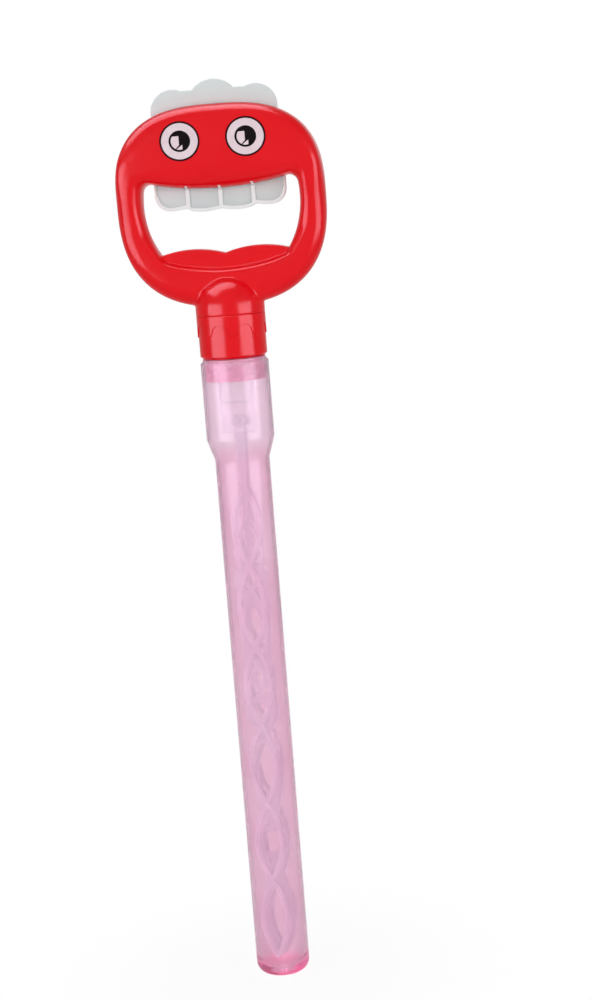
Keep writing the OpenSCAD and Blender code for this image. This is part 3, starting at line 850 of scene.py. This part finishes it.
def ring_shape():
    """The ring round the mouth, thicker and squarer at the brow, and squarer along the mouth's floor."""
    near = mouth_outline()
    angles = np.arctan2(near[:, 1], near[:, 0])
    ways = np.stack([np.cos(angles), np.sin(angles)], 1)
    far = np.array([0, MOUTH_DROP]) + grip_outline_r(angles)[:, None] * ways
    up = np.sin(angles)
    brow = smooth_share(up, BROW_START_SHARE, BROW_END_SHARE)
    brow_edge = smooth_share(up, BROW_EDGE_START_SHARE, BROW_EDGE_END_SHARE)
    floor = smooth_share(-up, FLOOR_START_SHARE, FLOOR_END_SHARE)
    far_power = BAR_POWER + (BROW_POWER - BAR_POWER) * brow_edge
    near_power = BAR_POWER + (BROW_LIP_POWER - BAR_POWER) * brow_edge + (FLOOR_EDGE_POWER - BAR_POWER) * floor
    depth = (BAR_T + (BROW_T - BAR_T) * brow) / 2
    points = []
    for i in range(len(near)):
        for j in range(SECTION_STEPS):
            b = 2 * math.pi * (j + 0.5) / SECTION_STEPS
            power = far_power[i] if math.cos(b) > 0 else near_power[i]
            across = math.copysign(abs(math.cos(b)) ** (2 / power), math.cos(b))
            out = math.copysign(abs(math.sin(b)) ** (2 / power), math.sin(b))
            x, z = (near[i] + far[i]) / 2 + (far[i] - near[i]) / 2 * across
            points.append((x, depth[i] * out, MOUTH_Z + z))
    return np.array(points), looped_faces(len(near), SECTION_STEPS)


def lower_lip_shape():
    half_w = low_corner_at[0] + MOUTH_CORNER_R
    low = MOUTH_Z - MOUTH_FLOOR - SHELL_WALL
    xs = np.linspace(-half_w, half_w, LOBE_POINTS)
    peak = MOUTH_Z - LOBE_DROP
    tops = peak - LOBE_R + np.sqrt(LOBE_R ** 2 - (np.abs(xs) - LOBE_X) ** 2)
    return upright([list(zip(xs, tops)) + [(half_w, low), (-half_w, low)]], LOBE_T, LOBE_EDGE)


def neck_shape():
    centre = SEAM_Z + DOME_UP
    angles = np.linspace(0, math.pi / 2, DOME_POINTS)
    dome = [(COLLAR_R * math.cos(a), centre + COLLAR_R * math.sin(a)) for a in angles]
    return lathe([(0, SEAM_Z), (COLLAR_R, SEAM_Z)] + dome)


def grip_shape():
    """The whole grip with its soft inner corners, and the slot for the white plate cut through it."""
    whole = evaluated(
        joined(ring_shape(), lower_lip_shape(), neck_shape()),
        ("REMESH", {"mode": "VOXEL", "voxel_size": SHELL_VOXEL}),
        ("SMOOTH", SHELL_SMOOTHING),
    )
    half_w = TEETH_HALF_W + SLOT_GAP
    half_t = PLATE_T / 2 + RIB_T + SLOT_GAP
    low, high = LIP_Z - SLOT_BELOW_LIP, GRIP_TOP_Z + SLOT_OVERRUN
    slot_shape = block((-half_w, -half_t, low), (half_w, half_t, high), SLOT_EDGE)
    slot = linked("working_slot", mesh_from("working_slot", slot_shape))
    cut = evaluated(whole, ("BOOLEAN", {"operation": "DIFFERENCE", "object": slot, "solver": "EXACT"}))
    bpy.data.objects.remove(slot)
    return cut


def half_of(shape, side, seam_gap=0.04, groove=0.15):
    """The front (side -1) or rear (side 1) of a shape, closed along a fine groove on the middle plane."""
    work = bmesh.new()
    mesh = mesh_from("working", shape)
    work.from_mesh(mesh)
    bpy.data.meshes.remove(mesh)
    everything = work.verts[:] + work.edges[:] + work.faces[:]
    bmesh.ops.bisect_plane(
        work, geom=everything, plane_co=(0, side * seam_gap, 0), plane_no=(0, side, 0), clear_inner=True,
    )
    rim = [e for e in work.edges if e.is_boundary]
    work.normal_update()
    for vert in {v for e in rim for v in e.verts}:
        inward = Vector((vert.normal.x, 0, vert.normal.z))
        vert.co -= inward * groove
    bmesh.ops.triangle_fill(work, use_beauty=True, edges=rim)
    bmesh.ops.recalc_face_normals(work, faces=work.faces)
    return shape_of_work(work)


def face_y(tree, x, z):
    """Where the front of the grip lies at a place."""
    return tree.ray_cast(Vector((x, -BROW_T, z)), Vector((0, 1, 0)))[0].y


# White plate: the teeth under the lip and the crest over the brow

def tooth_foot(number):
    """Height of a tooth's lower edge; the outer teeth end a little higher."""
    return TOOTH_Z + np.where((number == 0) | (number == TOOTH_COUNT - 1), TOOTH_RISE, 0)


def corner_height(xs, inset):
    """Height of the rounded lower corners of the outer teeth, far below elsewhere."""
    reach = np.abs(xs) - (TEETH_HALF_W - TOOTH_CORNER_R)
    drop = np.sqrt(np.maximum((TOOTH_CORNER_R - inset) ** 2 - np.maximum(reach, 0) ** 2, 0))
    return np.where(reach > 0, TOOTH_Z + TOOTH_RISE + TOOTH_CORNER_R - drop, 0)


def panel_outline(number):
    """The sunk panel of one tooth, inside its ribs, from under the brow."""
    x = (number - (TOOTH_COUNT - 1) / 2) * TOOTH_W
    half_w = TOOTH_W / 2 - RIB_W / 2
    xs = np.linspace(-half_w, half_w, PANEL_POINTS)
    lower = tooth_foot(number) + TOOTH_R - np.sqrt((TOOTH_R - RIB_W) ** 2 - xs ** 2)
    lower = np.maximum(lower, corner_height(x + xs, RIB_W))
    top = [(x + half_w, PLATE_SHOULDER_Z), (x - half_w, PLATE_SHOULDER_Z)]
    return top + list(zip(x + xs, lower))


def softened(values, count):
    """A running average over an odd count of values."""
    padded = np.pad(values, count // 2, mode="edge")
    return np.convolve(padded, np.full(count, 1 / count), mode="valid")


def teeth_edge():
    """The lower edge of the four teeth, from the left."""
    xs = np.linspace(-TEETH_HALF_W, TEETH_HALF_W, TEETH_POINTS)
    number = np.clip(np.floor((xs + TEETH_HALF_W) / TOOTH_W), 0, TOOTH_COUNT - 1)
    local = xs + TEETH_HALF_W - (number + 0.5) * TOOTH_W
    lower = tooth_foot(number) + TOOTH_R - np.sqrt(TOOTH_R ** 2 - local ** 2)
    lower = np.maximum(softened(lower, TEETH_AVERAGED), corner_height(xs, 0))
    teeth = list(zip(xs, lower))
    return [(-TEETH_HALF_W, PLATE_SHOULDER_Z)] + teeth + [(TEETH_HALF_W, PLATE_SHOULDER_Z)]


def plate_outline():
    """The outside of the plate: teeth below, crest above."""
    half_w = min(TEETH_HALF_W, CREST_X + CREST_SIDE_R)
    xs = np.linspace(half_w, -half_w, CREST_POINTS)
    middle = GRIP_TOP_Z + CREST_H - CREST_R + np.sqrt(np.maximum(CREST_R ** 2 - xs ** 2, 0))
    sides = np.sqrt(np.maximum(CREST_SIDE_R ** 2 - (np.abs(xs) - CREST_X) ** 2, 0))
    side = GRIP_TOP_Z + CREST_SIDE_H - CREST_SIDE_R + sides
    dip = np.where(np.abs(xs) < CREST_X, GRIP_TOP_Z + CREST_SIDE_H - CREST_DIP, 0)
    crest = list(zip(xs, np.maximum(np.maximum(middle, side), dip)))
    return teeth_edge() + [(half_w, PLATE_SHOULDER_Z)] + crest + [(-half_w, PLATE_SHOULDER_Z)]


def tab_shape(tree, x):
    """The top of a rib between two teeth, which shows in front of the lip's edge."""
    edge = MOUTH_Z + lip_height(x)
    low, high = edge - TAB_DROP, edge + TAB_RISE
    front = [(-PLATE_T / 2 - RIB_T, low)]
    for z in np.linspace(edge + TAB_START, high, TAB_POINTS):
        front.append((face_y(tree, x, z) - TAB_LIFT, z))
    profile = front + [(0, high), (0, low)]
    count = len(profile)
    points = [(x + side * TAB_HALF_W, y, z) for side in (-1, 1) for y, z in profile]
    faces = [list(range(count)), list(range(2 * count - 1, count - 1, -1))]
    faces += [[i, (i + 1) % count, count + (i + 1) % count, count + i] for i in range(count)]
    return evaluated((points, faces), ("BEVEL", {"width": TAB_EDGE, "segments": 2}))


def tooth_plate_shape(tree):
    plate = upright([plate_outline()], PLATE_T, PLATE_EDGE, shrink=PLATE_SHRINK)
    panels = [panel_outline(number) for number in range(TOOTH_COUNT)]
    ribs = upright([teeth_edge()] + panels, PLATE_T + 2 * RIB_T, RIB_EDGE)
    tabs = [tab_shape(tree, (k - TOOTH_COUNT / 2) * TOOTH_W) for k in range(1, TOOTH_COUNT)]
    return joined(plate, ribs, *tabs)


# Eyes, printed on the brow

def printed(tree, centre_x, centre_z, inner, outer, lift, rows=PRINT_ROWS):
    """A print that follows the brow between two radii, of which the outer may change with the angle."""
    angles = full_turn(PRINT_TURNS)
    outer = np.broadcast_to(outer, angles.shape)
    front, back = [], []
    for row in range(rows + 1):
        radius = inner + (outer - inner) * row / rows
        for a, r in zip(angles, radius):
            x, z = centre_x + r * math.cos(a), centre_z + r * EYE_TALL_SHARE * math.sin(a)
            y = face_y(tree, x, z)
            front.append((x, y - lift, z))
            back.append((x, y + PRINT_T, z))
    size = len(front)
    faces = []
    for row in range(rows):
        for k in range(PRINT_TURNS):
            corners = [row * PRINT_TURNS + k, row * PRINT_TURNS + (k + 1) % PRINT_TURNS]
            corners += [corners[1] + PRINT_TURNS, corners[0] + PRINT_TURNS]
            faces.append(corners)
            faces.append([size + c for c in reversed(corners)])
    for row in (0, rows):
        for k in range(PRINT_TURNS):
            a, b = row * PRINT_TURNS + k, row * PRINT_TURNS + (k + 1) % PRINT_TURNS
            faces.append([a, b, size + b, size + a])
    return np.array(front + back), faces


def glint_shape(tree, x, middle, cuts, least=1e-6):
    """A light mark in the pupil at x: a disc limited by straight cuts, in shares of the pupil's radius."""
    angles = full_turn(PRINT_TURNS)
    ways = np.stack([np.cos(angles), np.sin(angles)], 1)
    along = ways @ middle
    outer = np.sqrt(along ** 2 + GLINT_REACH_SHARE ** 2 - np.dot(middle, middle)) - along
    for turn, distance in cuts:
        way = np.array([math.cos(math.radians(turn)), math.sin(math.radians(turn))])
        ahead = np.maximum(ways @ way, least)
        outer = np.minimum(outer, (distance - np.dot(way, middle)) / ahead)
    centre_x = x + middle[0] * PUPIL_R
    centre_z = EYE_Z + middle[1] * PUPIL_R * EYE_TALL_SHARE
    return printed(tree, centre_x, centre_z, 0, outer * PUPIL_R, GLINT_LIFT, rows=GLINT_ROWS)


# Arms

def lens_half_w(offsets, length, inset):
    """Half the width of a long loop with pointed ends, at offsets from its middle."""
    half_w = LOOP_W / 2
    radius = ((length / 2) ** 2 + half_w ** 2) / (2 * half_w)
    return np.sqrt(np.maximum((radius - inset) ** 2 - offsets ** 2, 0)) - (radius - half_w)


def loops_of(arm, strip):
    """The loops of an arm: the height of each middle, its length, and whether it is round."""
    if arm == MIDDLE_ARM:
        pitch = (ARM_LEN - strip) / MIDDLE_LOOPS
        for i in range(MIDDLE_LOOPS):
            top = -strip - pitch * i
            yield top - RING_R, 2 * RING_R, True
            yield top - (pitch + 2 * RING_R) / 2, pitch - 2 * RING_R + WAIST_W, False
    else:
        pitch = (ARM_LEN - strip) / LOOPS
        for i in range(LOOPS):
            yield -strip - pitch * (i + 0.5), pitch + WAIST_W, False


def loop_half_w(z, middle, length, is_round, inset):
    offsets = z - middle
    if is_round:
        return np.sqrt(np.maximum((RING_R - inset) ** 2 - offsets ** 2, 0))
    return lens_half_w(offsets, length, inset)


def ridges(z, arm):
    """How far the fine ridges of an arm's edges stand back; the middle arm has none."""
    if arm == MIDDLE_ARM:
        return np.zeros_like(z)
    return RIDGE_H * (2 * np.abs((z / RIDGE_PITCH) % 1 - 0.5) - 1)


def both_sides(half_w, z, least):
    """A closed outline down the right and up the left, where it is wide enough."""
    keep = half_w > least
    half_w, z = half_w[keep], z[keep]
    return list(zip(half_w, z)) + list(zip(-half_w[::-1], z[::-1]))


def arm_outlines(arm, strip):
    """The outside of an arm and the holes of its loops, below the pin's centre."""
    is_middle = arm == MIDDLE_ARM
    band = MIDDLE_BAND_W if is_middle else BAND_W
    step = MIDDLE_ARM_STEP if is_middle else RIDGE_PITCH / 2
    loops = list(loops_of(arm, strip))
    end = loops[-1][0] - loops[-1][1] / 2
    z = np.arange(-PIN_R - STRIP_START, end, -step)
    along = np.clip(-z / (strip + WAIST_W / 2), 0, 1)
    strip_half_w = np.where(z > -strip - WAIST_W / 2, STRIP_W / 2 + (WAIST_W - STRIP_W) / 2 * along, 0)
    loops_half_w = np.max([loop_half_w(z, *loop, 0) for loop in loops], axis=0)
    half_w = np.maximum(strip_half_w, loops_half_w + np.where(loops_half_w > 0, ridges(z, arm), 0))
    outlines = [both_sides(half_w, z, LEAST_HALF_W)]
    for middle, length, is_round in loops:
        z = np.arange(middle + length / 2, middle - length / 2, -step)
        half_w = loop_half_w(z, middle, length, is_round, band)
        half_w = np.where(half_w > RIDGED_HALF_W, half_w - ridges(z, arm), half_w)
        outlines.append(both_sides(half_w, z, LEAST_HOLE_HALF_W))
    return outlines


def arm_shape(arm, strip, layer, lean_share):
    """A flat arm with a hub round the pin, leaning a little about it."""
    flat = upright(arm_outlines(arm, strip), ARM_T, ARM_EDGE, edge_steps=1)
    hub_half_t = (ARM_PITCH - SLOT_GAP) / 2
    hub = lathe(rounded([
        (PIN_R + RUN_GAP, -hub_half_t, HUB_EDGE), (ARM_EYE_R, -hub_half_t, HUB_EDGE),
        (ARM_EYE_R, hub_half_t, HUB_EDGE), (PIN_R + RUN_GAP, hub_half_t, HUB_EDGE),
    ], steps=HUB_ARC_STEPS), turns=HUB_TURNS)
    whole = joined(flat, turned(hub, Matrix.Rotation(math.pi / 2, 4, "X")))
    leaning = turned(whole, Matrix.Rotation(-lean_share * ARM_LEAN, 4, "Y"))
    return moved(leaning, (0, layer * ARM_PITCH, PIN_Z))


# Pieces

add_piece("tube_moulding", tube_shape(), PINK, "tube", "tube_pink", "tube")
add_piece("spout_insert", spout_shape(), SPOUT_PINK, "tube", "spout_pink", "spout")
add_piece("cap_seal", seal_shape(), SEAL, "seal_ring", "seal", "seal_ring")
add_piece("screw_cap", cap_shape(), RED, "wand", "shell_red", "cap")

grip = grip_shape()
add_piece("grip_front", half_of(grip, -1), RED, "wand", "shell_red", "front_shell")
add_piece("grip_rear", half_of(grip, 1), RED, "wand", "shell_red", "rear_shell")
brow = BVHTree.FromPolygons([tuple(p) for p in grip[0]], grip[1])
add_piece("teeth_and_crest", tooth_plate_shape(brow), WHITE, "wand", "plate_white", "tooth_plate")

outlines, glints = [], []
for side, name in ((-1, "left"), (1, "right")):
    x = side * EYE_X + EYE_SHIFT
    white = printed(brow, x, EYE_Z, PUPIL_R - PUPIL_OVERLAP, EYE_R - OUTLINE_W, WHITE_LIFT)
    add_piece(f"{name}_eye_disc", white, EYE_WHITE, "wand", "eye_white", f"{name}_eye_white")
    pupil = printed(brow, x, EYE_Z, 0, PUPIL_R, PUPIL_LIFT)
    add_piece(f"{name}_pupil_disc", pupil, EYE_BLACK, "wand", "eye_black", f"{name}_pupil")
    outlines.append(printed(brow, x, EYE_Z, EYE_R - OUTLINE_W, EYE_R, OUTLINE_LIFT, rows=OUTLINE_ROWS))
    glints.append(glint_shape(brow, x, PATCH_MIDDLE_SHARES, PATCH_CUT_SHARES))
    glints.append(glint_shape(brow, x, WEDGE_MIDDLE_SHARES, WEDGE_CUT_SHARES))
add_piece("eye_rings", joined(*outlines), EYE_OUTLINE, "wand", "eye_black", "eye_outlines")
add_piece("eye_spots", joined(*glints), EYE_WHITE, "wand", "eye_white", "eye_glints")

add_piece("clear_stem", copied("stem", STEM_EDGE), CLEAR, "wand", "stem_clear", "stem")
add_piece("pivot_pin", copied("arm_pin", PIN_EDGE), PIN_MILKY, "wand", "stem_clear", "arm_pin")
add_piece("pivot_pin_cap", copied("arm_pin_cap", PIN_EDGE), PIN_MILKY, "wand", "stem_clear", "arm_pin_cap")

for layer, (arm, body, strip, lean_share) in enumerate(ARMS, start=-(len(ARMS) // 2)):
    add_piece(f"{arm}_loops", arm_shape(arm, strip, layer, lean_share), MILKY, body, "arm_milky", arm)


# Floor, background, lights and camera, in metres

CAMERA_AZIMUTH = math.radians(7)
CAMERA_DISTANCE = 0.8698
CAMERA_HEIGHT = 0.3485
CAMERA_YAW = math.radians(1.396)
CAMERA_PITCH = math.radians(-9.07)
CAMERA_ROLL = math.radians(-4.44)
FOCAL_PIXELS = 2058
IMAGE_H = 1000
SENSOR_H = 24

# Sideways shares of a direction at which the backdrop begins to dim and is dimmest, and the floor's finish
SIDE_START_SHARE = 0.1
SIDE_END_SHARE = 0.5
FLOOR_GREY = 0.92
FLOOR_ROUGHNESS = 0.9

WAND_MIDDLE = Vector((0, 0, 0.2))
WHITE_LIGHT = (1, 1, 1)
MIRRORED_LIGHT = (0.90, 0.86, 1)
SOFTBOXES = [
    # name, azimuth and elevation in degrees, distance, width, height, radiance, whether it is mirrored
    ("left_softbox", -53, 3.4, 1.0, 0.93, 0.48, 9.4, True),
    ("right_softbox", 50, 3.4, 1.0, 0.86, 0.48, 9.4, True),
    ("top_softbox", -80, 72, 1.0, 0.75, 1.25, 10, True),
    ("left_fill", -40, 15, 1.4, 1.2, 1.2, 1.25, False),
    ("right_fill", 40, 15, 1.4, 1.2, 1.2, 1.25, False),
]


def background_share(tree):
    """1 for rays that should see the plain background: straight, mirrored or seen through."""
    path = tree.nodes.new("ShaderNodeLightPath")
    largest = path.outputs["Is Camera Ray"]
    for name in ("Is Glossy Ray", "Is Transmission Ray"):
        largest = calculated(tree, "MAXIMUM", largest, path.outputs[name])
    return largest


def side_dimming(tree, direction, side_level):
    """1 straight ahead and behind, and the side level towards the sides, except for rays from the camera."""
    across = vector_node(tree, "DOT_PRODUCT", direction)
    across.inputs[1].default_value = (math.cos(CAMERA_AZIMUTH), math.sin(CAMERA_AZIMUTH), 0)
    aside = calculated(tree, "ABSOLUTE", across.outputs["Value"])
    level = ranged(tree, aside, SIDE_START_SHARE, SIDE_END_SHARE, 1, side_level)
    seen = tree.nodes.new("ShaderNodeLightPath").outputs["Is Camera Ray"]
    return calculated(tree, "MAXIMUM", level, seen)


def make_world(ambient, side_level):
    """A white backdrop, with dimmer sides that show only mirrored or seen through."""
    world = bpy.data.worlds.new("studio")
    world.use_nodes = True
    tree = world.node_tree
    light = tree.nodes["Background"]
    white = tree.nodes.new("ShaderNodeBackground")
    for background in (light, white):
        background.inputs["Color"].default_value = (1, 1, 1, 1)
    light.inputs["Strength"].default_value = ambient
    direction = tree.nodes.new("ShaderNodeTexCoord").outputs["Generated"]
    tree.links.new(side_dimming(tree, direction, side_level), white.inputs["Strength"])
    both = mixed_shaders(
        tree, background_share(tree), light.outputs["Background"], white.outputs["Background"],
    )
    tree.links.new(both, tree.nodes["World Output"].inputs["Surface"])
    bpy.context.scene.world = world


def make_floor(half_size, glow, near, far, side_level):
    """A pale floor that keeps a soft shadow near the wand and turns plain white farther out."""
    corners = [(x * half_size, y * half_size, 0) for x, y in ((-1, -1), (1, -1), (1, 1), (-1, 1))]
    mesh = mesh_from("floor", (corners, [(0, 1, 2, 3)]))
    floor = linked("floor", mesh)
    material = bpy.data.materials.new("floor_white")
    material.use_nodes = True
    tree = material.node_tree
    shader = tree.nodes["Principled BSDF"]
    shader.inputs["Base Color"].default_value = (FLOOR_GREY, FLOOR_GREY, FLOOR_GREY, 1)
    shader.inputs["Roughness"].default_value = FLOOR_ROUGHNESS
    shader.inputs["Specular IOR Level"].default_value = 0
    away = vector_node(tree, "LENGTH", coordinates(tree)).outputs["Value"]
    white_share = calculated(tree, "MULTIPLY", background_share(tree), ranged(tree, away, near, far, glow, 1))
    white = tree.nodes.new("ShaderNodeEmission")
    way = vector_node(tree, "NORMALIZE", coordinates(tree)).outputs["Vector"]
    tree.links.new(side_dimming(tree, way, side_level), white.inputs["Strength"])
    both = mixed_shaders(tree, white_share, shader.outputs["BSDF"], white.outputs["Emission"])
    tree.links.new(both, tree.nodes["Material Output"].inputs["Surface"])
    mesh.materials.append(material)


def towards(azimuth, elevation):
    """A direction from the wand, with azimuths measured from the front towards +X."""
    flat = math.cos(elevation)
    return Vector((flat * math.sin(azimuth), -flat * math.cos(azimuth), math.sin(elevation)))


def softbox(name, azimuth, elevation, distance, width, height, radiance, mirrored):
    """A rectangular light that faces the wand, placed by its angles from the camera's side.

    A mirrored one shows in glossy faces only, and the others light the faces and don't show in them.
    """
    lamp = bpy.data.lights.new(name, "AREA")
    lamp.shape = "RECTANGLE"
    lamp.size, lamp.size_y = width, height
    lamp.energy = radiance * math.pi * width * height
    lamp.color = MIRRORED_LIGHT if mirrored else WHITE_LIGHT
    box = linked(name, lamp)
    way = towards(CAMERA_AZIMUTH + math.radians(azimuth), math.radians(elevation))
    box.location = WAND_MIDDLE + way * distance
    box.rotation_euler = way.to_track_quat("Z", "Y").to_euler()
    box.visible_camera = False
    box.visible_glossy = mirrored
    box.visible_diffuse = not mirrored
    box.visible_transmission = False


def make_camera():
    """The camera, as fitted to the photo."""
    camera = bpy.data.cameras.new("camera")
    camera.sensor_fit = "VERTICAL"
    camera.sensor_height = SENSOR_H
    camera.lens = FOCAL_PIXELS / IMAGE_H * SENSOR_H
    seen = linked("camera", camera)
    place = towards(CAMERA_AZIMUTH, 0) * CAMERA_DISTANCE + Vector((0, 0, CAMERA_HEIGHT))
    turn = (
        Matrix.Rotation(CAMERA_AZIMUTH - CAMERA_YAW, 4, "Z")
        @ Matrix.Rotation(math.pi / 2 + CAMERA_PITCH, 4, "X")
        @ Matrix.Rotation(CAMERA_ROLL, 4, "Z")
    )
    seen.matrix_world = Matrix.Translation(place) @ turn
    bpy.context.scene.camera = seen


make_world(ambient=0.5, side_level=0.5)
make_floor(half_size=0.6, glow=0.93, near=0.015, far=0.13, side_level=0.75)
for settings in SOFTBOXES:
    softbox(*settings)
make_camera()
bpy.context.scene.view_settings.view_transform = "Standard"
